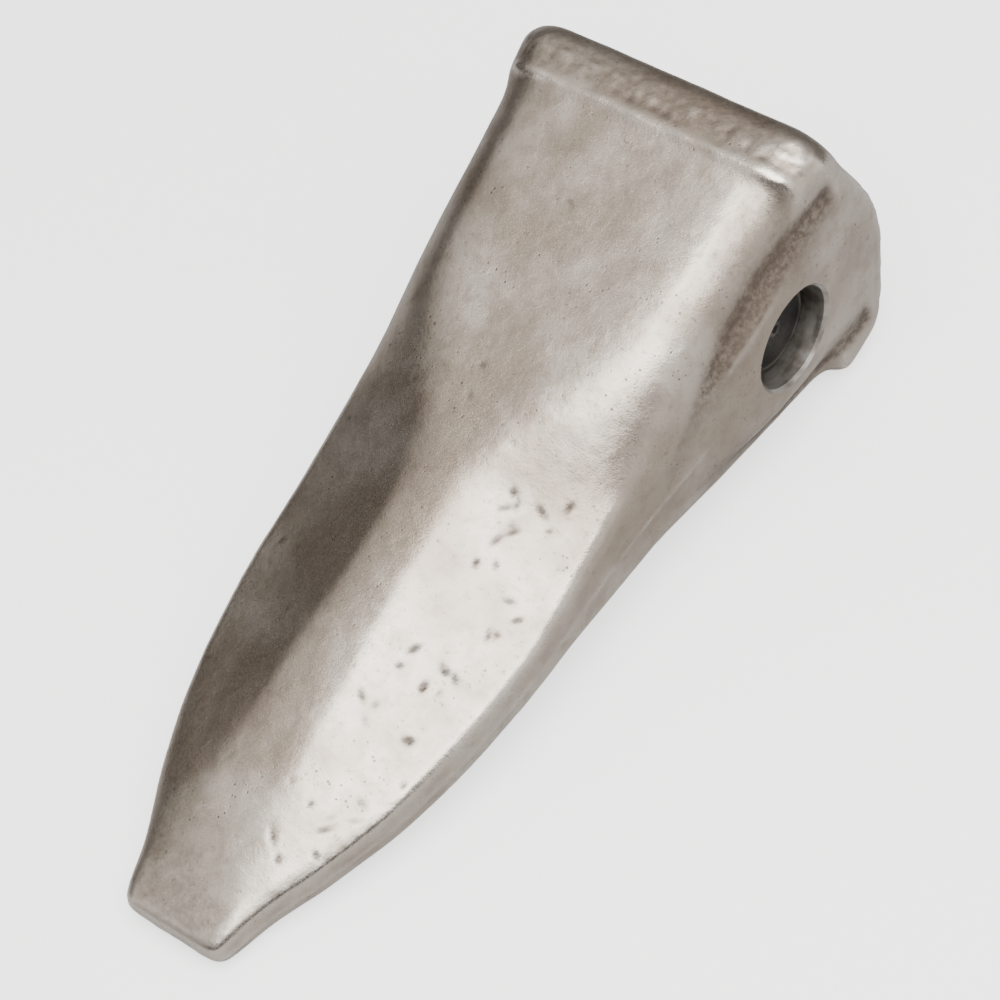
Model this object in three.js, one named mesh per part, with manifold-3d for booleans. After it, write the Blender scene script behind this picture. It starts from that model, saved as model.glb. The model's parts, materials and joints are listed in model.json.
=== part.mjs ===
// A side-pin rock-chisel bucket tooth for an excavator of about 20 tonnes, with its lock pin in place.
//
// The tooth is one steel forging: a chisel blade with a central rib between two flutes on each face, a tapered
// pocket that slides over the adapter's nose, a thickened rim round the pocket's mouth, and two ears with a
// through bore for the lock pin. The pin is a steel bar with a slot along its top. A rubber spring lies in the
// slot and pushes a steel strip against the bores, so that the pin stays in.
//
// Millimetres, +Z up, the point towards -Y. The tooth lies on its underside with its lowest point on Z = 0.
// The forging is modelled in its own frame: the pin's axis is X, through the origin, and Z = 0 is the middle
// plane between the top and the bottom face. They mirror each other, but the rim is fuller at its lower corners.
// The pin's pieces have the same origin.

import * as THREE from 'three';
import { LoftGeometry } from 'three/addons/geometries/LoftGeometry.js';
import { mergeVertices } from 'three/addons/utils/BufferGeometryUtils.js';
import Module from 'manifold-3d';

const wasm = await Module();
wasm.setup();

// Driving dimensions of the forging.
const TIP_Y = -197; // end face of the blade
const PLATE_BACK_Y = 32.2; // back edge of the top and bottom plates
const EAR_BACK_Y = 39.4; // rearmost point of the ears
const EAR_LOBE_HALF_HEIGHT = 38; // where an ear's rounded back meets the plates' back edge
const EAR_HALF_WIDTH = 44.9; // middle plane to the outer face of an ear
const RIM_START_Y = 14; // front of the thickened rim
const RIM_RAMP = 3; // length of the rim's front slope
const RIM_LEAD_BELOW = 3.5; // how much further forward the rim starts on the lower face
const RIM_BEVEL = 5; // length of the bevel along the rim's back edge
const BORE_RADIUS = 13.5;
const BORE_CHAMFER = 0.8;
const REST_LEAN = THREE.MathUtils.degToRad(9.973); // it lies on the rim and the blade's rib, point down

// Driving dimensions of the pocket.
const MOUTH = { y: 27, halfWidth: 30.5, halfHeight: 30, corner: 8 };
const POCKET_END = { y: -66, halfWidth: 21, halfHeight: 11, corner: 5 };
const MOUTH_FLARE = 0.35; // widening of the lead-in behind MOUTH.y, per millimetre

// Driving dimensions of the lock pin and its two fittings.
const PIN_RADIUS = 12.8;
const PIN_HALF_LENGTH = 39;
const PIN_CHAMFER = 1.6;
const SLOT_HALF_LENGTH = 36.5;
const SLOT_HALF_WIDTH = 4.2;
const SLOT_FLOOR_Z = 4;
const STRIP_BOTTOM_Z = 8.4;
const STRIP_RADIUS = 13.25; // the strip's back stands proud of the pin by this less PIN_RADIUS
const STRIP_RAMP = 4; // length of the lead-in at each end of the strip
const FIT_GAP = 0.3; // between pieces that touch

// Cross-sections of the forging from the point to the rim, as one quarter of each outline:
//   half   half width where the flank meets the side
//   cheek  half width on the middle plane
//   rise   half height at the centre
//   rib    half width of the flat top
//   brow   height at which the flank meets the side
//   flute  0 for a rounded flank, 1 for a scooped one
const STATIONS = [
  { y: TIP_Y, half: 13.2, cheek: 13.5, rise: 3.4, rib: 10, brow: 2.8, flute: 0 },
  { y: TIP_Y + 1.5, half: 14.2, cheek: 14.6, rise: 4.7, rib: 10, brow: 4, flute: 0 },
  { y: -184, half: 17, cheek: 17.8, rise: 7, rib: 9.5, brow: 5, flute: 0.15 },
  { y: -168, half: 23.9, cheek: 24.7, rise: 10.2, rib: 9.5, brow: 5.6, flute: 0.5 },
  { y: -145, half: 31.9, cheek: 32.8, rise: 14.4, rib: 9, brow: 6.4, flute: 0.9 },
  { y: -122, half: 36.4, cheek: 37.3, rise: 17.8, rib: 8.5, brow: 6.8, flute: 1 },
  { y: -100, half: 38.4, cheek: 39.3, rise: 20.5, rib: 7.5, brow: 7.4, flute: 1 },
  { y: -78, half: 38.3, cheek: 39.5, rise: 23.7, rib: 7.5, brow: 10.8, flute: 0.9 },
  { y: -62, half: 38.3, cheek: 39.8, rise: 26.6, rib: 12.5, brow: 13.8, flute: 0.6 },
  { y: -48, half: 39, cheek: 41, rise: 29.3, rib: 19.5, brow: 16.5, flute: 0.25 },
  { y: -32, half: 39.8, cheek: 42.6, rise: 32.3, rib: 25, brow: 19.5, flute: 0 },
  { y: -10, half: 41, cheek: EAR_HALF_WIDTH, rise: 36.4, rib: 27.5, brow: 24.5, flute: 0 },
  { y: RIM_START_Y, half: 41.8, cheek: EAR_HALF_WIDTH, rise: 40.8, rib: 29, brow: 31, flute: 0 },
];
const RIM_FRONT = { half: 42.8, cheek: EAR_HALF_WIDTH, rise: 42.3, rib: 31.5, brow: 33.2, flute: 0 };
const RIM_FRONT_BELOW = { ...RIM_FRONT, half: 44.2, rib: 35.5, brow: 37 }; // the lower corners are fuller
const RIM_BACK = { half: 44.2, cheek: EAR_HALF_WIDTH, rise: 42.5, rib: 34.5, brow: 35, flute: 0 };
const BACK_EDGE = { half: 42.6, cheek: 44.2, rise: 39.9, rib: 33, brow: 33.5, flute: 0 };

// ---------------------------------------------------------------- solids

function solidOf(geometry) {
  const bare = new THREE.BufferGeometry();
  bare.setAttribute('position', geometry.getAttribute('position'));
  bare.setIndex(geometry.index);
  const merged = mergeVertices(bare, 1e-4);
  return new wasm.Manifold(new wasm.Mesh({
    numProp: 3,
    vertProperties: merged.attributes.position.array,
    triVerts: new Uint32Array(merged.index.array),
  }));
}

function geometryOf(solid) {
  const mesh = solid.getMesh();
  const geometry = new THREE.BufferGeometry();
  geometry.setAttribute('position', new THREE.BufferAttribute(mesh.vertProperties, mesh.numProp));
  geometry.setIndex(new THREE.BufferAttribute(mesh.triVerts, 1));
  geometry.computeVertexNormals();
  return geometry;
}

// A solid of revolution about X from [x, radius] pairs.
function turned(profile, segments) {
  const points = profile.map(([x, radius]) => new THREE.Vector2(radius, x));
  return solidOf(new THREE.LatheGeometry(points, segments).rotateZ(-Math.PI / 2));
}

function box(x0, x1, y0, y1, z0, z1) {
  const geometry = new THREE.BoxGeometry(x1 - x0, y1 - y0, z1 - z0);
  return solidOf(geometry.translate((x0 + x1) / 2, (y0 + y1) / 2, (z0 + z1) / 2));
}

// ---------------------------------------------------------------- the forging's outside

// Smooth value of one column of STATIONS at y, by cubics that don't overshoot.
function along(key, y) {
  const last = STATIONS.length - 2;
  const slope = (k) => (STATIONS[k + 1][key] - STATIONS[k][key]) / (STATIONS[k + 1].y - STATIONS[k].y);
  const tangent = (k) => {
    if (k === 0) return slope(0);
    if (k > last) return slope(last);
    const [before, after] = [slope(k - 1), slope(k)];
    return before * after <= 0 ? 0 : (2 * before * after) / (before + after);
  };
  const next = STATIONS.findIndex((station) => station.y > y);
  const i = next < 0 ? last : Math.max(0, next - 1);
  const [a, b] = [STATIONS[i], STATIONS[i + 1]];
  const span = b.y - a.y;
  const t = THREE.MathUtils.clamp((y - a.y) / span, 0, 1);
  const bow = t * (1 - t) * span;
  return THREE.MathUtils.lerp(a[key], b[key], t * t * (3 - 2 * t))
    + bow * ((1 - t) * tangent(i) - t * tangent(i + 1));
}

function sizesAt(y) {
  return Object.fromEntries(Object.keys(RIM_FRONT).map((key) => [key, along(key, y)]));
}

const TOP_STEPS = 2;
const FLANK_STEPS = 8;
const SIDE_STEPS = 4;
const CHEEK_STEPS = 3;
const CHEEK_SHARE = 0.7; // the ear's flat face begins at this share of the brow's height

// One quarter of an outline, from the top's centre to the side's middle, as [x, z] pairs.
function quarterOutline({ half, cheek, rise, rib, brow, flute }) {
  const [across, down] = [half - rib, rise - brow];
  const blend = (rounded, scooped) => THREE.MathUtils.lerp(rounded, scooped, flute);
  const flank = new THREE.CubicBezierCurve(
    new THREE.Vector2(rib, rise),
    new THREE.Vector2(rib + blend(0.45, 0.2) * across, rise - blend(0, 0.32) * down),
    new THREE.Vector2(half - blend(0, 0.34) * across, brow + blend(0.45, 0.22) * down),
    new THREE.Vector2(half, brow),
  );
  const top = Array.from({ length: TOP_STEPS }, (_, i) => [(rib * i) / TOP_STEPS, rise]);
  const flankPoints = flank.getPoints(FLANK_STEPS).map((point) => [point.x, point.y]);
  const side = Array.from({ length: SIDE_STEPS }, (_, i) => {
    const share = (i + 1) / SIDE_STEPS;
    const x = THREE.MathUtils.lerp(half, cheek, THREE.MathUtils.smoothstep(share, 0, 1));
    return [x, brow * THREE.MathUtils.lerp(1, CHEEK_SHARE, share)];
  });
  const flat = Array.from({ length: CHEEK_STEPS }, (_, i) => (
    [cheek, brow * CHEEK_SHARE * (1 - (i + 1) / CHEEK_STEPS)]
  ));
  return [...top, ...flankPoints, ...side, ...flat];
}

function wholeOutline(upperSizes, lowerSizes = upperSizes) {
  const upper = quarterOutline(upperSizes);
  const lower = quarterOutline(lowerSizes);
  const [upperMiddle, lowerMiddle] = [upper.slice(1, -1), lower.slice(1, -1)];
  const cheek = upperSizes.cheek;
  return [
    ...upper,
    ...lowerMiddle.map(([x, z]) => [x, -z]).reverse(),
    [0, -lowerSizes.rise],
    ...lowerMiddle.map(([x, z]) => [-x, -z]),
    [-cheek, 0],
    ...upperMiddle.map(([x, z]) => [-x, z]).reverse(),
  ];
}

// The back edge seen from the side: straight across the plates, with a rounded lobe on each ear.
function backEdgeY(z) {
  const phase = Math.min(1, Math.abs(z) / EAR_LOBE_HALF_HEIGHT) * (Math.PI / 2);
  return PLATE_BACK_Y + (EAR_BACK_Y - PLATE_BACK_Y) * Math.cos(phase) ** 2;
}

function ring(sizes, yOf, lowerSizes) {
  return wholeOutline(sizes, lowerSizes).map(([x, z]) => new THREE.Vector3(x, yOf(z), z));
}

// On the lower face the rim starts further forward.
function rimStartY(z) {
  return RIM_START_Y - RIM_LEAD_BELOW * THREE.MathUtils.smoothstep(-z, 4, 26);
}

function evenly(from, to, count) {
  return Array.from({ length: count }, (_, i) => from + ((to - from) * i) / count);
}

// The blade and the walls, then the rim's slope, face and bevel, then the back face, which turns inwards.
function forgingOutside() {
  const bladeYs = [TIP_Y, ...evenly(TIP_Y + 1.5, -148, 12), ...evenly(-148, RIM_START_Y, 24)];
  const rings = bladeYs.map((y) => ring(sizesAt(y), () => y));
  rings.push(ring(sizesAt(RIM_START_Y), rimStartY));
  rings.push(ring(RIM_FRONT, (z) => rimStartY(z) + RIM_RAMP, RIM_FRONT_BELOW));
  rings.push(ring(RIM_BACK, (z) => backEdgeY(z) - RIM_BEVEL));
  const edge = ring(BACK_EDGE, backEdgeY);
  // The pocket takes away the middle of the back face, so these rings can bulge backwards there.
  const round = (radius, yOf) => edge.map(({ x, y, z }) => {
    const angle = Math.atan2(z, x);
    return new THREE.Vector3(radius * Math.cos(angle), yOf(y), radius * Math.sin(angle));
  });
  rings.push(edge, round(25, (y) => y), round(10, () => EAR_BACK_Y + 1));
  return solidOf(new LoftGeometry(rings, { capStart: true, capEnd: true }));
}

// ---------------------------------------------------------------- the pocket and the bore

function roundedRectangle(y, halfWidth, halfHeight, corner) {
  const cornerSteps = 4;
  const points = [];
  const corners = [[1, 1], [1, -1], [-1, -1], [-1, 1]];
  corners.forEach(([sx, sz], turn) => {
    for (let i = 0; i <= cornerSteps; i += 1) {
      const angle = Math.PI / 2 - (turn + i / cornerSteps) * (Math.PI / 2);
      const x = sx * (halfWidth - corner) + corner * Math.cos(angle);
      const z = sz * (halfHeight - corner) + corner * Math.sin(angle);
      points.push(new THREE.Vector3(x, y, z));
    }
  });
  return points;
}

function pocket() {
  const beyond = EAR_BACK_Y + 4;
  const flare = (beyond - MOUTH.y) * MOUTH_FLARE;
  return solidOf(new LoftGeometry([
    roundedRectangle(POCKET_END.y, POCKET_END.halfWidth, POCKET_END.halfHeight, POCKET_END.corner),
    roundedRectangle(MOUTH.y, MOUTH.halfWidth, MOUTH.halfHeight, MOUTH.corner),
    roundedRectangle(beyond, MOUTH.halfWidth + flare, MOUTH.halfHeight + flare, MOUTH.corner),
  ], { capStart: true, capEnd: true }));
}

function bore() {
  const outside = EAR_HALF_WIDTH + 10;
  const chamferStart = EAR_HALF_WIDTH - BORE_CHAMFER;
  const widest = BORE_RADIUS + outside - chamferStart;
  return turned([
    [-outside, 0],
    [-outside, widest],
    [-chamferStart, BORE_RADIUS],
    [chamferStart, BORE_RADIUS],
    [outside, widest],
    [outside, 0],
  ], 32);
}

function toothBody() {
  return forgingOutside().subtract(pocket()).subtract(bore());
}

// ---------------------------------------------------------------- the lock pin

function lockPin() {
  const bar = turned([
    [-PIN_HALF_LENGTH, 0],
    [-PIN_HALF_LENGTH, PIN_RADIUS - PIN_CHAMFER],
    [-PIN_HALF_LENGTH + PIN_CHAMFER, PIN_RADIUS],
    [PIN_HALF_LENGTH - PIN_CHAMFER, PIN_RADIUS],
    [PIN_HALF_LENGTH, PIN_RADIUS - PIN_CHAMFER],
    [PIN_HALF_LENGTH, 0],
  ], 40);
  const slot = box(
    -SLOT_HALF_LENGTH, SLOT_HALF_LENGTH,
    -SLOT_HALF_WIDTH, SLOT_HALF_WIDTH,
    SLOT_FLOOR_Z, PIN_RADIUS + 1,
  );
  return bar.subtract(slot);
}

const FITTING_HALF_LENGTH = SLOT_HALF_LENGTH - FIT_GAP;
const FITTING_HALF_WIDTH = SLOT_HALF_WIDTH - FIT_GAP;

function lockRubber() {
  return box(
    -FITTING_HALF_LENGTH, FITTING_HALF_LENGTH,
    -FITTING_HALF_WIDTH, FITTING_HALF_WIDTH,
    SLOT_FLOOR_Z + FIT_GAP, STRIP_BOTTOM_Z - FIT_GAP,
  );
}

// The strip's section is flat below and follows a circle about the pin's axis above.
function lockStrip() {
  const arcSteps = 8;
  const reach = Math.asin(FITTING_HALF_WIDTH / STRIP_RADIUS);
  const section = (x, drop) => {
    const arc = Array.from({ length: arcSteps + 1 }, (_, i) => {
      const angle = reach * (1 - (2 * i) / arcSteps);
      return new THREE.Vector3(x, STRIP_RADIUS * Math.sin(angle), STRIP_RADIUS * Math.cos(angle) - drop);
    });
    return [
      ...arc,
      new THREE.Vector3(x, -FITTING_HALF_WIDTH, STRIP_BOTTOM_Z),
      new THREE.Vector3(x, FITTING_HALF_WIDTH, STRIP_BOTTOM_Z),
    ];
  };
  const full = FITTING_HALF_LENGTH - STRIP_RAMP;
  const rampDrop = 1.5;
  return solidOf(new LoftGeometry([
    section(-FITTING_HALF_LENGTH, rampDrop),
    section(-full, 0),
    section(full, 0),
    section(FITTING_HALF_LENGTH, rampDrop),
  ], { capStart: true, capEnd: true }));
}

// ---------------------------------------------------------------- assembly

const materials = {
  forging: new THREE.MeshStandardMaterial({ color: 0xb4ada4, roughness: 0.45, metalness: 0.9 }),
  pinSteel: new THREE.MeshStandardMaterial({ color: 0x2f2d2b, roughness: 0.55, metalness: 0.8 }),
  rubber: new THREE.MeshStandardMaterial({ color: 0x1b1a19, roughness: 0.85, metalness: 0 }),
  stripSteel: new THREE.MeshStandardMaterial({ color: 0x8b8a86, roughness: 0.4, metalness: 0.95 }),
};

function named(name, solid, material) {
  const mesh = new THREE.Mesh(geometryOf(solid), material);
  mesh.name = name;
  return mesh;
}

const forging = new THREE.Group();
forging.add(named('tooth_body', toothBody(), materials.forging));
forging.rotation.x = REST_LEAN;

const pinAssembly = new THREE.Group();
pinAssembly.add(
  named('lock_pin', lockPin(), materials.pinSteel),
  named('lock_rubber', lockRubber(), materials.rubber),
  named('lock_strip', lockStrip(), materials.stripSteel),
);

// The origin is under the middle of the tooth, on the surface that it lies on.
const tooth = new THREE.Group();
tooth.add(forging, pinAssembly);
const bounds = new THREE.Box3().setFromObject(tooth, true);
const centre = bounds.getCenter(new THREE.Vector3());
tooth.position.set(-centre.x, -centre.y, -bounds.min.z);

const part = new THREE.Group();
part.add(tooth);

export default part;
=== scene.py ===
"""The looks of an excavator bucket tooth and its side lock pin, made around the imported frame.

Everything is in metres, in the row's frame. The forging leans in that frame, so its own coordinates are used
for its details: x across, y from the point (-) to the pocket's mouth (+), z up from the middle plane, with
the origin on the lock pin's axis. They are in millimetres.
"""
import json
import math

import bmesh
import bpy
import numpy as np
from mathutils import Matrix, Vector, noise


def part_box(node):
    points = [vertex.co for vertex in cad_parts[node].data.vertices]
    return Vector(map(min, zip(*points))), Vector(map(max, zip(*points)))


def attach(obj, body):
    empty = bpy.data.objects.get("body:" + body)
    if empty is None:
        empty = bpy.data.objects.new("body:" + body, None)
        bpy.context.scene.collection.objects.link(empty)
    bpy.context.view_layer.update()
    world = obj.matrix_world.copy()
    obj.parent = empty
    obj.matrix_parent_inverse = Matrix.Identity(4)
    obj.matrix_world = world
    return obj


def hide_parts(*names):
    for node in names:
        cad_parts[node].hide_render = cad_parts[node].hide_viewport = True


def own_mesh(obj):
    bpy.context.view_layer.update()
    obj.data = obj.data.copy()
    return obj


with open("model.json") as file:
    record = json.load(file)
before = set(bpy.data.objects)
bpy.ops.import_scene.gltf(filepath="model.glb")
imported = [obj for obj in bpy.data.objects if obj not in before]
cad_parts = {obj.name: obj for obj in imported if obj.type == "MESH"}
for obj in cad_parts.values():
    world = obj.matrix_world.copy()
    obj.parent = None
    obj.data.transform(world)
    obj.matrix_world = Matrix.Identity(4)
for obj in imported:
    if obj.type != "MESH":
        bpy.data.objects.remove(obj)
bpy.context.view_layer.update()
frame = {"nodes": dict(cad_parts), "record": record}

MM = 0.001
MOUNTS = {mount["name"]: mount for mount in frame["record"]["mounts"]}
PIN_BOX = [Vector(corner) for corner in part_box("lock_pin")]
PIN_CENTRE = (PIN_BOX[0] + PIN_BOX[1]) / 2
POCKET_AXIS = Vector(MOUNTS["nose_end_stop"]["axis"])
LEAN = math.atan2(POCKET_AXIS.z, POCKET_AXIS.y)
EAR_FACE_X = MOUNTS["right_ear_face"]["pos_m"][0] / MM

# ---------------------------------------------------------------- camera, lights and floor

CAMERA_AZIMUTH = math.radians(49.13)
CAMERA_ELEVATION = math.radians(53.03)
CAMERA_ROLL = math.radians(-15.10)
CAMERA_DISTANCE = 0.7777
CAMERA_LENS = 116.2
AIM_FROM_PIN = Vector((0, -63.9, -20.5)) * MM
WALL_GLOW = 0.03
WALL_TOP = 0.34  # heights in the sky are sines of the elevation
CEILING_GLOW = 1.15
CEILING_START = 0.92
PAPER_GLOW = 1.5
FLOOR_REACH = 3.0


def direction(azimuth, elevation):
    """Unit vector towards a viewer at these angles; azimuth 0 is in front, on the -Y side."""
    flat = math.cos(elevation)
    return Vector((math.sin(azimuth) * flat, -math.cos(azimuth) * flat, math.sin(elevation)))


def facing(azimuth, elevation, roll=0.0):
    """Rotation of a camera or light that looks back from these angles."""
    backwards = direction(azimuth, elevation)
    right = Vector((math.cos(azimuth), math.sin(azimuth), 0))
    upwards = backwards.cross(right)
    turn = Matrix((right, upwards, backwards)).transposed()
    return turn.to_4x4() @ Matrix.Rotation(roll, 4, "Z")


def add_camera():
    data = bpy.data.cameras.new("camera")
    data.sensor_width = 36
    data.lens = CAMERA_LENS
    data.clip_start = 0.01
    camera = bpy.data.objects.new("camera", data)
    bpy.context.scene.collection.objects.link(camera)
    aim = PIN_CENTRE + AIM_FROM_PIN
    place = Matrix.Translation(aim + direction(CAMERA_AZIMUTH, CAMERA_ELEVATION) * CAMERA_DISTANCE)
    camera.matrix_world = place @ facing(CAMERA_AZIMUTH, CAMERA_ELEVATION, CAMERA_ROLL)
    bpy.context.scene.camera = camera


def add_light(name, azimuth, elevation, distance, width, height, power):
    data = bpy.data.lights.new(name, "AREA")
    data.shape = "RECTANGLE"
    data.size = width
    data.size_y = height
    data.energy = power
    light = bpy.data.objects.new(name, data)
    bpy.context.scene.collection.objects.link(light)
    azimuth, elevation = math.radians(azimuth), math.radians(elevation)
    place = Matrix.Translation(direction(azimuth, elevation) * distance)
    light.matrix_world = place @ facing(azimuth, elevation)


def add_studio():
    world = bpy.data.worlds.new("studio")
    bpy.context.scene.world = world
    world.use_nodes = True
    nodes, links = world.node_tree.nodes, world.node_tree.links
    height = nodes.new("ShaderNodeSeparateXYZ")
    links.new(nodes.new("ShaderNodeTexCoord").outputs["Generated"], height.inputs["Vector"])
    glow = nodes.new("ShaderNodeMapRange")
    glow.interpolation_type = "SMOOTHSTEP"
    limits = {"From Min": WALL_TOP, "From Max": CEILING_START, "To Min": WALL_GLOW, "To Max": CEILING_GLOW}
    for key, value in limits.items():
        glow.inputs[key].default_value = value
    links.new(height.outputs["Z"], glow.inputs["Value"])
    background = nodes["Background"]
    background.inputs["Color"].default_value = (1.0, 0.975, 0.95, 1)
    links.new(glow.outputs["Result"], background.inputs["Strength"])
    add_light("overhead", 62, 70, 0.95, 0.85, 0.85, 16)
    add_light("right_side", 103, 20, 1.2, 1.15, 1.1, 5.6)
    add_light("front", -34, 24, 1.2, 0.35, 0.9, 2.0)
    data = bpy.data.meshes.new("floor")
    corners = [(FLOOR_REACH * x, FLOOR_REACH * y, 0) for x, y in ((-1, -1), (1, -1), (1, 1), (-1, 1))]
    data.from_pydata(corners, [], [(0, 1, 2, 3)])
    floor = bpy.data.objects.new("floor", data)
    bpy.context.scene.collection.objects.link(floor)
    data.materials.append(floor_material())


def floor_material():
    """Backlit white paper, which the steel reflects as a darker card, as a studio's flags would make it."""
    paper = bpy.data.materials.new("floor_paper")
    paper.use_nodes = True
    nodes, links = paper.node_tree.nodes, paper.node_tree.links
    surface = nodes["Principled BSDF"]
    surface.inputs["Roughness"].default_value = 0.9
    shade_of_paper = nodes.new("ShaderNodeMix")
    shade_of_paper.data_type = "RGBA"
    shade_of_paper.inputs["A"].default_value = (0.85, 0.85, 0.84, 1)
    shade_of_paper.inputs["B"].default_value = (0.4, 0.4, 0.4, 1)
    ray = nodes.new("ShaderNodeLightPath")
    links.new(ray.outputs["Is Glossy Ray"], shade_of_paper.inputs["Factor"])
    surface.inputs["Emission Color"].default_value = (1, 1, 1, 1)
    glow = nodes.new("ShaderNodeMath")
    glow.operation = "MULTIPLY"
    glow.inputs[1].default_value = PAPER_GLOW
    links.new(ray.outputs["Is Camera Ray"], glow.inputs[0])
    links.new(glow.outputs["Value"], surface.inputs["Emission Strength"])
    links.new(shade_of_paper.outputs["Result"], surface.inputs["Base Color"])
    return paper


# ---------------------------------------------------------------- mesh helpers


def link(name, data):
    piece = bpy.data.objects.new(name, data)
    bpy.context.scene.collection.objects.link(piece)
    return piece


def applied(piece):
    """The piece with its modifiers made permanent."""
    bpy.context.view_layer.update()
    evaluated = piece.evaluated_get(bpy.context.evaluated_depsgraph_get())
    piece.data = bpy.data.meshes.new_from_object(evaluated)
    piece.modifiers.clear()
    return piece


def lathe(name, profile, segments):
    """A closed solid of revolution about the pin's axis, from (x, radius) pairs in millimetres."""
    shape = bmesh.new()
    rings = []
    for x, radius in profile:
        ring = []
        for i in range(segments):
            angle = 2 * math.pi * i / segments
            offset = Vector((x, radius * math.cos(angle), radius * math.sin(angle))) * MM
            ring.append(shape.verts.new(PIN_CENTRE + offset))
        rings.append(ring)
    for low, high in zip(rings, rings[1:]):
        for i in range(segments):
            j = (i + 1) % segments
            shape.faces.new((low[i], low[j], high[j], high[i]))
    shape.faces.new(rings[0][::-1])
    shape.faces.new(rings[-1])
    bmesh.ops.recalc_face_normals(shape, faces=shape.faces)
    data = bpy.data.meshes.new(name)
    shape.to_mesh(data)
    shape.free()
    return link(name, data)


def cut(piece, cutter):
    """Takes the cutter's solid out of the piece, and removes the cutter."""
    modifier = piece.modifiers.new("cut", "BOOLEAN")
    modifier.operation = "DIFFERENCE"
    modifier.solver = "EXACT"
    modifier.material_mode = "TRANSFER"
    modifier.object = cutter
    applied(piece)
    bpy.data.objects.remove(cutter)


def remeshed(piece, voxel):
    """The piece as an even mesh of about this spacing, in metres."""
    remesh = piece.modifiers.new("remesh", "REMESH")
    remesh.mode = "VOXEL"
    remesh.voxel_size = voxel
    return applied(piece)


def bevel_edges(piece, width, segments, sharper_than):
    """Bevels the edges sharper than this angle in degrees, by a width in millimetres."""
    bevel = piece.modifiers.new("bevel", "BEVEL")
    bevel.width = width * MM
    bevel.segments = segments
    bevel.limit_method = "ANGLE"
    bevel.angle_limit = math.radians(sharper_than)
    applied(piece)


def shade(piece, sharp_degrees):
    piece.data.shade_smooth()
    piece.data.set_sharp_from_angle(angle=math.radians(sharp_degrees))


def vertex_values(data, kind):
    values = np.empty(len(data.vertices) * 3)
    data.vertices.foreach_get(kind, values)
    return values.reshape(-1, 3)


def in_forging(points):
    """Points in metres in the row's frame, as millimetres in the forging's own coordinates."""
    offset = (points - np.array(PIN_CENTRE)) / MM
    return turned(offset, -LEAN)


def turned(vectors, angle):
    c, s = math.cos(angle), math.sin(angle)
    x, y, z = vectors.T
    return np.stack([x, c * y - s * z, s * y + c * z], axis=1)


def smoothstep(low, high, value):
    t = np.clip((value - low) / (high - low), 0, 1)
    return t * t * (3 - 2 * t)


def hump(value, centre, width):
    """A smooth bump of height 1 at the centre."""
    return np.exp(-(((value - centre) / width) ** 2))


def wander(points, wavelength, octaves=1, shift=0.0):
    """Smooth noise from about -1 to 1, of this wavelength in the points' unit."""
    offset = Vector((shift, 2 * shift, -shift))
    return np.array([
        noise.fractal(Vector(point) / wavelength + offset, 0.9, 2.1, octaves) for point in points
    ])


class Fairing:
    """Evens out a mesh's surface, by moving each vertex towards its neighbours."""

    STEP = 0.6

    def __init__(self, data, spacing):
        edges = np.empty(len(data.edges) * 2, dtype=np.int64)
        data.edges.foreach_get("vertices", edges)
        self.start, self.end = edges.reshape(-1, 2).T
        self.count = np.bincount(edges, minlength=len(data.vertices))[:, None]
        self.spread_per_round = self.STEP * spacing ** 2 / 2

    def spread(self, values, radius, weight=None):
        """The values blurred over this radius, in metres, by weight at each vertex."""
        rounds = max(1, round(radius ** 2 / self.spread_per_round))
        step = self.STEP if weight is None else self.STEP * weight[:, None]
        size = len(values)
        for _ in range(rounds):
            total = np.stack([self.neighbours_sum(column, size) for column in values.T], axis=1)
            values = values + step * (total / self.count - values)
        return values

    def neighbours_sum(self, column, size):
        forward = np.bincount(self.start, column[self.end], size)
        return forward + np.bincount(self.end, column[self.start], size)


# ---------------------------------------------------------------- the forging

VOXEL = 0.8 * MM
BORE_RADIUS = 13.5
BORE_CHAMFER = 0.9
BORE_INNER_END = 30
BLADE_FAIRING = 0.4  # the share of the faces' extra fairing that the blade gets


def bore_cutter():
    outside = EAR_FACE_X + 6
    start = EAR_FACE_X - BORE_CHAMFER
    widest = BORE_RADIUS + outside - start
    profile = [(-outside, widest), (-start, BORE_RADIUS), (start, BORE_RADIUS), (outside, widest)]
    return lathe("bore_cutter", profile, 160)


def bore_plugs():
    """Solids that fill the bore while the skin is worked, so that it can be cut crisply afterwards."""
    for side in (-1, 1):
        ends = [(side * BORE_INNER_END, BORE_RADIUS), (side * EAR_FACE_X, BORE_RADIUS)]
        yield lathe("bore_plug", ends, 64)


def remeshed_forging():
    """The CAD forging without its bore, as an even mesh."""
    shape = bmesh.new()
    shape.from_mesh(frame["nodes"]["tooth_body"].data)
    for plug in bore_plugs():
        shape.from_mesh(plug.data)
        bpy.data.objects.remove(plug)
    data = bpy.data.meshes.new("tooth_skin")
    shape.to_mesh(data)
    shape.free()
    return remeshed(link("tooth_skin", data), VOXEL)


def skin_masks(local, normals):
    """Where each kind of surface lies, as values from 0 to 1."""
    x, y, z = local.T
    radius = np.hypot(x, z) + 1e-6
    inward = -(x * normals[:, 0] + z * normals[:, 2]) / radius
    inside = smoothstep(0.1, 0.4, inward) * smoothstep(-70, -64, y)
    end_wall = smoothstep(0.6, 0.8, normals[:, 1]) * smoothstep(-69, -67, y) * (1 - smoothstep(-40, -20, y))
    inside = np.maximum(inside, end_wall)
    flat_face = smoothstep(0.6, 0.8, np.abs(normals[:, 2])) * (1 - inside)
    around_bore = 1 - smoothstep(16, 24, np.hypot(y, z))
    around_bore = around_bore * smoothstep(0.9, 0.98, np.abs(normals[:, 0]))
    return inside, flat_face, around_bore


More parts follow.
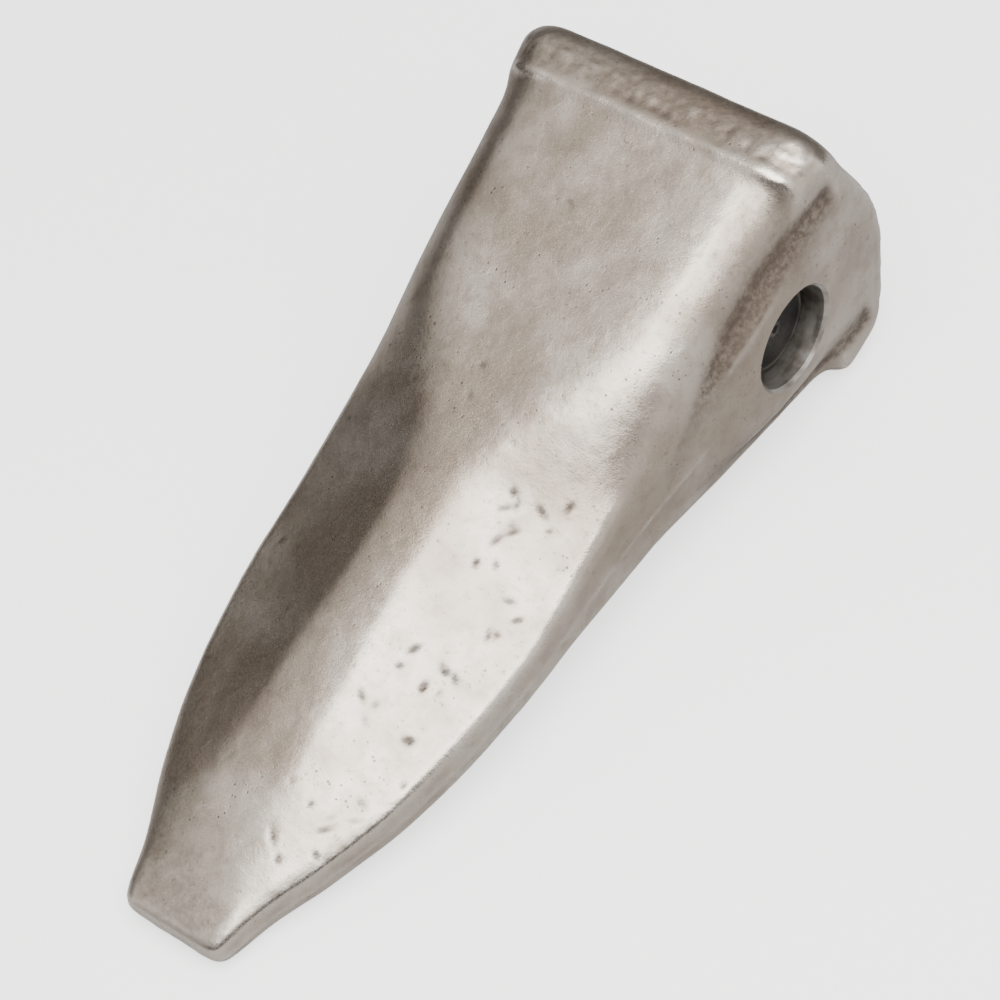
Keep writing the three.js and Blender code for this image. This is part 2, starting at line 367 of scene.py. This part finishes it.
def dents(local, masks, seed, number, y_range, x_range, lengths, depths):
    """Depth of scattered nicks and scabs on the faces, in millimetres."""
    flat_face = masks[1]
    random = np.random.default_rng(seed)
    x, y, z = local.T
    depth = np.zeros(len(local))
    for _ in range(number):
        side = random.choice((-1, 1))
        along = random.uniform(*y_range)
        across = random.uniform(*x_range)
        length = random.uniform(*lengths)
        width = random.uniform(0.5, 0.8)
        turn = random.uniform(-1.2, 1.2)
        deepest = random.uniform(*depths)
        near = (np.sign(z) == side) & (np.abs(y - along) < 8) & (np.abs(x - across) < 8)
        u = (y[near] - along) * math.cos(turn) + (x[near] - across) * math.sin(turn)
        v = (x[near] - across) * math.cos(turn) - (y[near] - along) * math.sin(turn)
        depth[near] += deepest * np.exp(-((u / length) ** 2) - (v / width) ** 2)
    return depth * flat_face


def rim_relief(local, normals):
    """Height in millimetres of the rim's uneven bead and the rough band behind it, and the lighter tone on
    the bead's crest, partly wear and partly painted highlight.
    """
    x, y, z = local.T
    outward = (x * normals[:, 0] + z * normals[:, 2]) / (np.hypot(x, z) + 1e-6)
    outside = smoothstep(0.2, 0.5, outward)
    on_face = smoothstep(0.55, 0.8, np.abs(normals[:, 2]))
    crest = 17.4 + 0.5 * wander(local, 16, 2, 8.0)
    bead = 0.6 * hump(y, crest, 1.7) * (0.85 + 0.5 * wander(local, 9, 2, 3.0))
    groove = 0.45 * hump(y, crest + 3.2, 1.4) * smoothstep(-0.3, 0.5, wander(local, 11, 3, 12.0))
    rough = 0.25 * hump(y, 23.5, 3.2) * (wander(local, 3.2, 3, 7.0) + 0.4)
    # Lighter tone on the bead's crest: partly wear, partly painted highlight.
    wear = hump(y, crest - 0.4, 1.5) * smoothstep(-0.7, 0.3, wander(local, 7, 3, 15.0))
    return outside * on_face * (bead - groove + rough), outside * on_face * wear


def valley(local, normals):
    """Depth in millimetres of the hollow between a face's shoulder and the flat of an ear, and how strongly
    painted shade darkens it.
    """
    x, y, z = local.T
    centre = 26 + 0.1 * y - 0.005 * (y - 8) ** 2 * (y < 8)
    side = smoothstep(0.3, 0.6, np.abs(normals[:, 0]))
    reach = side * smoothstep(-58, -8, y) * (1 - smoothstep(24, 28, y))
    above = np.abs(z) - centre
    shape = np.where(above > 0, hump(above, 0, 3.0), hump(above, 0, 6.0))
    return 1.2 * reach * shape, reach * shape


def stains_and_painted_shade(local, normals, valley_painted_shade):
    """How far the skin is darkened: painted shade in the valleys; on the shoulders a tan tone that also dims
    their highlight, partly painted shade; real discolouring on the rim's back part and at the point.
    """
    x, y, z = local.T
    outward = (x * normals[:, 0] + z * normals[:, 2]) / (np.hypot(x, z) + 1e-6)
    outside = smoothstep(-0.1, 0.3, outward)
    on_face = smoothstep(0.5, 0.8, np.abs(normals[:, 2]))
    band = on_face * smoothstep(18.6, 20.5, y + 0.7 * wander(local, 9, 2, 6.0))
    bevel = smoothstep(0.35, 0.7, normals[:, 1]) * smoothstep(20, 24, y)
    point = on_face * (1 - smoothstep(-186, -172, y + 0.25 * x + 3 * wander(local, 14, 2, 1.0)))
    upright = np.abs(normals[:, 2])
    sloping = smoothstep(0.25, 0.45, upright) * (1 - smoothstep(0.9, 0.97, upright))
    shoulder = sloping * smoothstep(-35, -5, y) * (1 - smoothstep(14, 17, y))
    # Valleys: painted shade. Shoulders: tan tone, partly painted shade dimming their highlight. Point: real
    # discolouring.
    brown_and_painted_shade = 1.3 * valley_painted_shade + 0.4 * shoulder + 0.6 * point
    return np.clip(outside * np.maximum(0.55 * band, bevel) + brown_and_painted_shade, 0, 1)


def parting_line(local, normals):
    """Height of the trimmed flash line that runs round the blade's edge, in millimetres."""
    x, y, z = local.T
    side = smoothstep(0.75, 0.95, np.hypot(normals[:, 0], normals[:, 1])) * (1 - smoothstep(-45, -20, y))
    wave = 0.5 * wander(local, 30, 1, 5.0)
    return 0.35 * side * hump(z, wave, 1.1) * (0.8 + 0.4 * wander(local, 6, 2, 9.0))


def worked_skin(piece):
    """Fairs the remeshed forging, and gives it the unevenness and marks of a real one."""
    data = piece.data
    fairing = Fairing(data, VOXEL)
    points = vertex_values(data, "co")
    normals = turned(vertex_values(data, "normal"), -LEAN)
    local = in_forging(points)
    masks = skin_masks(local, normals)
    inside, flat_face, around_bore = masks

    points = fairing.spread(points, 1.9 * MM)
    bend = np.linalg.norm(fairing.spread(points, 2.0 * MM) - points, axis=1) / MM
    calm = 1 - smoothstep(0.05, 0.16, fairing.spread(bend[:, None], 1.5 * MM)[:, 0])
    x, y, _ = local.T
    blade_share = smoothstep(-188, -178, y) * (BLADE_FAIRING + (1 - BLADE_FAIRING) * smoothstep(-92, -68, y))
    open_face = flat_face * (1 - smoothstep(24, 34, np.abs(x))) * blade_share * (1 - smoothstep(2, 12, y))
    points = fairing.spread(points, 4.2 * MM, np.maximum(calm, open_face) * (1 - around_bore))
    data.vertices.foreach_set("co", points.ravel())
    data.update()

    normals = turned(vertex_values(data, "normal"), -LEAN)
    local = in_forging(points)
    pits = 0.5 * dents(local, masks, 11, 60, (-185, 20), (-36, 36), (0.7, 1.5), (0.1, 0.35))
    pits += dents(local, masks, 5, 85, (-172, -68), (11, 32), (0.5, 2.0), (0.15, 0.45))
    valleys, valley_painted_shade = valley(local, normals)
    height = 0.22 * wander(local, 38, 2) + 0.07 * wander(local, 7, 3, 4.0)
    height = height + 0.1 * inside * wander(local, 4, 3, 2.0)
    height = height * (1 - 0.85 * around_bore)
    rim_height, rim_wear_and_highlight = rim_relief(local, normals)
    height += rim_height + parting_line(local, normals) - pits - valleys
    row_normals = turned(normals, LEAN)
    points = points + row_normals * (height * MM)[:, None]
    points[:, 2] = np.maximum(points[:, 2], 0)
    data.vertices.foreach_set("co", points.ravel())
    data.update()

    row_normals = vertex_values(data, "normal")
    fine = ((points - fairing.spread(points, 1.6 * MM)) * row_normals).sum(axis=1) / MM
    broad = ((points - fairing.spread(points, 6 * MM)) * row_normals).sum(axis=1) / MM
    for name, values in (
        ("edge", np.maximum(smoothstep(0.03, 0.3, fine), rim_wear_and_highlight)),
        # concave creases, used for painted shade in the material
        ("crease_painted_shade", smoothstep(0.02, 0.2, -fine)),
        ("hollow", smoothstep(0.1, 1.1, -broad)),
        ("inside", inside),
        ("stain_and_painted_shade", stains_and_painted_shade(local, normals, valley_painted_shade)),
        ("pit", np.clip(pits / 0.3, 0, 1)),
    ):
        attribute = data.attributes.new(name, "FLOAT", "POINT")
        attribute.data.foreach_set("value", values.astype(np.float32))


def shade_outside_bore_smooth(piece):
    """Keeps only the bore's cut edges sharp; the rest of the skin has none."""
    shade(piece, 32)
    data = piece.data
    x, y, z = in_forging(vertex_values(data, "co")).T
    near_bore = (np.hypot(y, z) < BORE_RADIUS + BORE_CHAMFER + 0.5) & (np.abs(x) > BORE_INNER_END)
    sharp = data.attributes["sharp_edge"].data
    flags = np.empty(len(sharp), dtype=bool)
    sharp.foreach_get("value", flags)
    ends = np.empty(len(data.edges) * 2, dtype=np.int64)
    data.edges.foreach_get("vertices", ends)
    sharp.foreach_set("value", flags & near_bore[ends.reshape(-1, 2)].all(axis=1))


def add_forging():
    piece = remeshed_forging()
    worked_skin(piece)
    piece.data.materials.clear()
    piece.data.materials.append(forging_material())
    cutter = bore_cutter()
    cutter.data.materials.append(bore_material())
    cut(piece, cutter)
    shade_outside_bore_smooth(piece)
    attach(piece, "tooth")
    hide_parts("tooth_body")


# ---------------------------------------------------------------- material helpers


class Shader:
    """A node material built by short calls. Coordinates are the object's own, in millimetres."""

    def __init__(self, name):
        self.material = bpy.data.materials.new(name)
        self.material.use_nodes = True
        self.nodes = self.material.node_tree.nodes
        self.links = self.material.node_tree.links
        self.surface = self.nodes["Principled BSDF"]
        self.place = self.scaled((1 / MM, 1 / MM, 1 / MM))

    def put(self, socket, value):
        if isinstance(value, bpy.types.NodeSocket):
            self.links.new(value, socket)
        else:
            socket.default_value = value

    def scaled(self, scale):
        mapping = self.nodes.new("ShaderNodeMapping")
        mapping.inputs["Scale"].default_value = scale
        self.links.new(self.nodes.new("ShaderNodeTexCoord").outputs["Object"], mapping.inputs["Vector"])
        return mapping.outputs["Vector"]

    def noise(self, wavelength, detail=3.0, roughness=0.55, distortion=0.0, place=None):
        node = self.nodes.new("ShaderNodeTexNoise")
        node.inputs["Scale"].default_value = 1 / wavelength
        node.inputs["Detail"].default_value = detail
        node.inputs["Roughness"].default_value = roughness
        node.inputs["Distortion"].default_value = distortion
        self.links.new(place or self.place, node.inputs["Vector"])
        return node.outputs["Fac"]

    def cells(self, wavelength):
        node = self.nodes.new("ShaderNodeTexVoronoi")
        node.inputs["Scale"].default_value = 1 / wavelength
        self.links.new(self.place, node.inputs["Vector"])
        return node.outputs["Distance"]

    def attribute(self, name):
        node = self.nodes.new("ShaderNodeAttribute")
        node.attribute_name = name
        return node.outputs["Fac"]

    def between(self, value, low, high, to_low=0.0, to_high=1.0):
        """The value's share of the way from low to high, smoothed, on a new scale."""
        node = self.nodes.new("ShaderNodeMapRange")
        node.interpolation_type = "SMOOTHSTEP"
        for key, number in (("From Min", low), ("From Max", high), ("To Min", to_low), ("To Max", to_high)):
            node.inputs[key].default_value = number
        self.put(node.inputs["Value"], value)
        return node.outputs["Result"]

    def maths(self, operation, first, second=0.0):
        node = self.nodes.new("ShaderNodeMath")
        node.operation = operation
        self.put(node.inputs[0], first)
        self.put(node.inputs[1], second)
        return node.outputs["Value"]

    def mixed(self, factor, first, second):
        node = self.nodes.new("ShaderNodeMix")
        node.data_type = "RGBA"
        self.put(node.inputs["Factor"], factor)
        self.put(node.inputs["A"], first)
        self.put(node.inputs["B"], second)
        return node.outputs["Result"]

    def bump(self, height, depth, strength=1.0, normal=None):
        """Relief of this depth in millimetres for heights from 0 to 1."""
        node = self.nodes.new("ShaderNodeBump")
        node.inputs["Distance"].default_value = depth * MM
        node.inputs["Strength"].default_value = strength
        self.put(node.inputs["Height"], height)
        if normal is not None:
            self.links.new(normal, node.inputs["Normal"])
        return node.outputs["Normal"]

    def finish(self, colour, roughness, metallic, normal=None):
        self.put(self.surface.inputs["Base Color"], colour)
        self.put(self.surface.inputs["Roughness"], roughness)
        self.put(self.surface.inputs["Metallic"], metallic)
        if normal is not None:
            self.links.new(normal, self.surface.inputs["Normal"])
        return self.material


def srgb(red, green, blue):
    """A linear colour from 0-255 display values."""
    linear = [((v / 255 + 0.055) / 1.055) ** 2.4 if v > 10 else v / 255 / 12.92 for v in (red, green, blue)]
    return (*linear, 1)


# ---------------------------------------------------------------- materials


def forging_material():
    s = Shader("forged_steel")
    clouds = s.noise(34, 3, 0.5, 0.4)
    mottle = s.noise(6, 4, 0.6, 0.3)
    grain = s.noise(0.45, 3, 0.6)
    specks = s.noise(1.7, 5, 0.7)
    pinholes = s.between(s.cells(1.7), 0.1, 0.24, 1, 0)
    pinholes = s.maths("MULTIPLY", pinholes, s.between(s.noise(13, 3, 0.6), 0.52, 0.64))
    edge, crease_painted_shade, hollow = s.attribute("edge"), s.attribute("crease_painted_shade"), s.attribute("hollow")
    inside, pit, stain_and_painted_shade = s.attribute("inside"), s.attribute("pit"), s.attribute("stain_and_painted_shade")

    steel = s.mixed(s.between(clouds, 0.35, 0.65), srgb(160, 146, 132), srgb(193, 183, 171))
    steel = s.mixed(s.between(mottle, 0.4, 0.7, 0, 0.45), steel, srgb(138, 122, 107))
    steel = s.mixed(s.between(specks, 0.6, 0.68, 0, 0.45), steel, srgb(96, 86, 78))
    steel = s.mixed(s.between(grain, 0.45, 0.8, 0, 0.25), steel, srgb(205, 199, 191))
    shaded = s.maths("MULTIPLY", hollow, s.between(mottle, 0.2, 0.6, 0.3, 0.8))
    tinted = s.mixed(shaded, steel, srgb(122, 108, 98))
    # Darker on marked skin: real discolouring on the rim's back band, its bevel and the point; painted shade
    # in the valleys and partly on the shoulders.
    stained_and_shaded = s.maths("MULTIPLY", stain_and_painted_shade, s.between(specks, 0.35, 0.6, 0.55, 0.95))
    tinted = s.mixed(stained_and_shaded, tinted, srgb(104, 92, 82))
    # Painted shade: darker in concave creases.
    tinted = s.mixed(s.maths("MULTIPLY", crease_painted_shade, 0.5), tinted, srgb(84, 72, 64))
    pitted = s.maths("MAXIMUM", s.maths("MULTIPLY", pit, 0.85), s.maths("MULTIPLY", pinholes, 0.7))
    tinted = s.mixed(pitted, tinted, srgb(62, 56, 52))
    # Lighter on worn edges; on the rim's bead partly painted highlight.
    worn = s.maths("MULTIPLY", edge, s.between(mottle, 0.25, 0.6, 0.4, 0.8))
    tinted = s.mixed(worn, tinted, srgb(214, 205, 194))
    colour = s.mixed(s.maths("MULTIPLY", inside, 0.75), tinted, srgb(92, 80, 71))

    roughness = s.between(grain, 0.25, 0.8, 0.29, 0.4)
    roughness = s.maths("ADD", roughness, s.maths("MULTIPLY", hollow, 0.1))
    roughness = s.maths("ADD", roughness, s.maths("MULTIPLY", stain_and_painted_shade, 0.12))
    roughness = s.maths("ADD", roughness, s.maths("MULTIPLY", inside, 0.2))
    roughness = s.maths("SUBTRACT", roughness, s.maths("MULTIPLY", edge, 0.1))
    relief = s.bump(grain, 0.035)
    relief = s.bump(mottle, 0.25, 0.6, relief)
    relief = s.bump(s.between(specks, 0.5, 0.78, 1, 0), 0.05, 0.5, relief)
    relief = s.bump(s.maths("SUBTRACT", 1.0, pinholes), 0.06, 0.6, relief)
    return s.finish(colour, roughness, 0.94, relief)


def bore_material():
    s = Shader("bore_wall")
    rings = s.noise(0.5, 2, 0.5, 0, s.scaled((1 / MM, 60, 60)))
    patches = s.noise(5, 3)
    colour = s.mixed(s.between(patches, 0.35, 0.7), srgb(176, 171, 165), srgb(132, 124, 116))
    return s.finish(colour, s.between(rings, 0.3, 0.7, 0.38, 0.52), 0.9, s.bump(rings, 0.05))


def pin_material():
    s = Shader("pin_steel")
    clouds = s.noise(9, 4, 0.6, 0.3)
    grain = s.noise(0.6, 3, 0.6)
    turning = s.noise(0.35, 1, 0.5, 0, s.scaled((1 / MM, 40, 40)))
    wear = s.attribute("edge")
    # Near-black: the pin's dark phosphate, darkened further as painted shade for the deep bore around it.
    colour = s.mixed(s.between(clouds, 0.35, 0.65), srgb(30, 29, 28), srgb(44, 42, 40))
    colour = s.mixed(s.between(grain, 0.55, 0.75, 0, 0.4), colour, srgb(74, 70, 66))
    worn = s.maths("MULTIPLY", wear, s.between(clouds, 0.3, 0.6, 0.3, 0.8))
    colour = s.mixed(worn, colour, srgb(120, 116, 110))
    normal = s.bump(turning, 0.04, 1, s.bump(grain, 0.03))
    return s.finish(colour, s.between(grain, 0.3, 0.8, 0.42, 0.62), 0.85, normal)


def rubber_material():
    s = Shader("spring_rubber")
    dust = s.noise(4, 4, 0.65, 0.5)
    skin = s.noise(0.4, 3, 0.6)
    colour = s.mixed(s.between(dust, 0.45, 0.75, 0, 0.6), srgb(34, 33, 33), srgb(66, 63, 60))
    return s.finish(colour, s.between(skin, 0.3, 0.7, 0.68, 0.86), 0.0, s.bump(skin, 0.04))


def strip_material():
    s = Shader("strip_steel")
    lines = s.noise(0.3, 2, 0.5, 0, s.scaled((30, 1 / MM, 1 / MM)))
    film = s.noise(7, 3, 0.6, 0.4)
    colour = s.mixed(s.between(film, 0.35, 0.7), srgb(178, 175, 170), srgb(146, 136, 124))
    return s.finish(colour, s.between(lines, 0.3, 0.7, 0.26, 0.44), 1.0, s.bump(lines, 0.03))


# ---------------------------------------------------------------- the lock pin, its rubber and its strip

STRIP_BOX = [Vector(corner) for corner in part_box("lock_strip")]
RUBBER_BOX = [Vector(corner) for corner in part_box("lock_rubber")]
PIN_RADIUS = (PIN_BOX[1].z - PIN_BOX[0].z) / 2 / MM
PIN_HALF_LENGTH = PIN_BOX[1].x / MM
LOCK_VOXEL = 0.35 * MM
FIT_GAP = 0.3
SLOT_HALF_LENGTH = RUBBER_BOX[1].x / MM + FIT_GAP
SLOT_HALF_WIDTH = (RUBBER_BOX[1].y - RUBBER_BOX[0].y) / 2 / MM + FIT_GAP
SLOT_FLOOR = (RUBBER_BOX[0].z - PIN_CENTRE.z) / MM - FIT_GAP


def block(name, low, high):
    """A box between two corners, in millimetres from the pin's centre."""
    shape = bmesh.new()
    bmesh.ops.create_cube(shape, size=1)
    size = Vector(high) - Vector(low)
    centre = (Vector(high) + Vector(low)) / 2
    for vertex in shape.verts:
        vertex.co = PIN_CENTRE + (centre + Vector(a * b for a, b in zip(vertex.co, size))) * MM
    data = bpy.data.meshes.new(name)
    shape.to_mesh(data)
    shape.free()
    return link(name, data)


def add_edge_wear(piece, radius, spacing):
    """Stores how sharply the surface bends outwards, for the material's worn edges."""
    data = piece.data
    fairing = Fairing(data, spacing)
    points = vertex_values(data, "co")
    bend = ((points - fairing.spread(points, radius)) * vertex_values(data, "normal")).sum(axis=1) / MM
    attribute = data.attributes.new("edge", "FLOAT", "POINT")
    attribute.data.foreach_set("value", smoothstep(0.01, 0.08, bend).astype(np.float32))


def add_pin():
    end, chamfer, radius = PIN_HALF_LENGTH, 1.6, PIN_RADIUS
    half = [
        (end - 0.8, 0.05),
        (end - 0.75, 0.4),
        (end - 0.1, 1.2),
        (end, 1.5),
        (end, radius - chamfer - 0.5),
        (end - 0.15, radius - chamfer),
        (end - chamfer + 0.2, radius - 0.15),
        (end - chamfer - 0.3, radius),
        (end - 4.0, radius),
    ]
    profile = [(-x, r) for x, r in half] + [(x, r) for x, r in reversed(half)]
    piece = lathe("pin_turned", profile, 96)
    low = (-SLOT_HALF_LENGTH, -SLOT_HALF_WIDTH, SLOT_FLOOR)
    high = (SLOT_HALF_LENGTH, SLOT_HALF_WIDTH, radius + 2)
    cut(piece, block("slot_cutter", low, high))
    bevel_edges(piece, 0.25, 2, 50)
    remeshed(piece, LOCK_VOXEL)
    piece.data.materials.clear()
    piece.data.materials.append(pin_material())
    fairing = Fairing(piece.data, LOCK_VOXEL)
    points = fairing.spread(vertex_values(piece.data, "co"), 0.3 * MM)
    piece.data.vertices.foreach_set("co", points.ravel())
    piece.data.update()
    add_edge_wear(piece, 0.8 * MM, LOCK_VOXEL)
    shade(piece, 50)
    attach(piece, "pin")
    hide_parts("lock_pin")


def add_rubber():
    low = [(a - b) / MM for a, b in zip(RUBBER_BOX[0], PIN_CENTRE)]
    high = [(a - b) / MM for a, b in zip(RUBBER_BOX[1], PIN_CENTRE)]
    piece = block("rubber_spring", low, high)
    bevel_edges(piece, 0.7, 3, 30)
    remeshed(piece, LOCK_VOXEL)
    points = vertex_values(piece.data, "co")
    height = np.clip((points[:, 2] - RUBBER_BOX[0].z) / (RUBBER_BOX[1].z - RUBBER_BOX[0].z), 0, 1)
    waist = 1 - 0.05 * np.sin(math.pi * height)
    points[:, 1] = PIN_CENTRE.y + (points[:, 1] - PIN_CENTRE.y) * waist
    piece.data.vertices.foreach_set("co", points.ravel())
    piece.data.update()
    piece.data.materials.clear()
    piece.data.materials.append(rubber_material())
    shade(piece, 50)
    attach(piece, "pin")
    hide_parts("lock_rubber")
    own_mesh(piece)


def add_strip():
    piece = link("strip_bar", frame["nodes"]["lock_strip"].data.copy())
    bevel_edges(piece, 0.3, 2, 40)
    piece.data.materials.clear()
    piece.data.materials.append(strip_material())
    shade(piece, 40)
    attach(piece, "strip")
    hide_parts("lock_strip")


# ---------------------------------------------------------------- the scene

add_camera()
add_studio()
add_forging()
add_pin()
add_rubber()
add_strip()
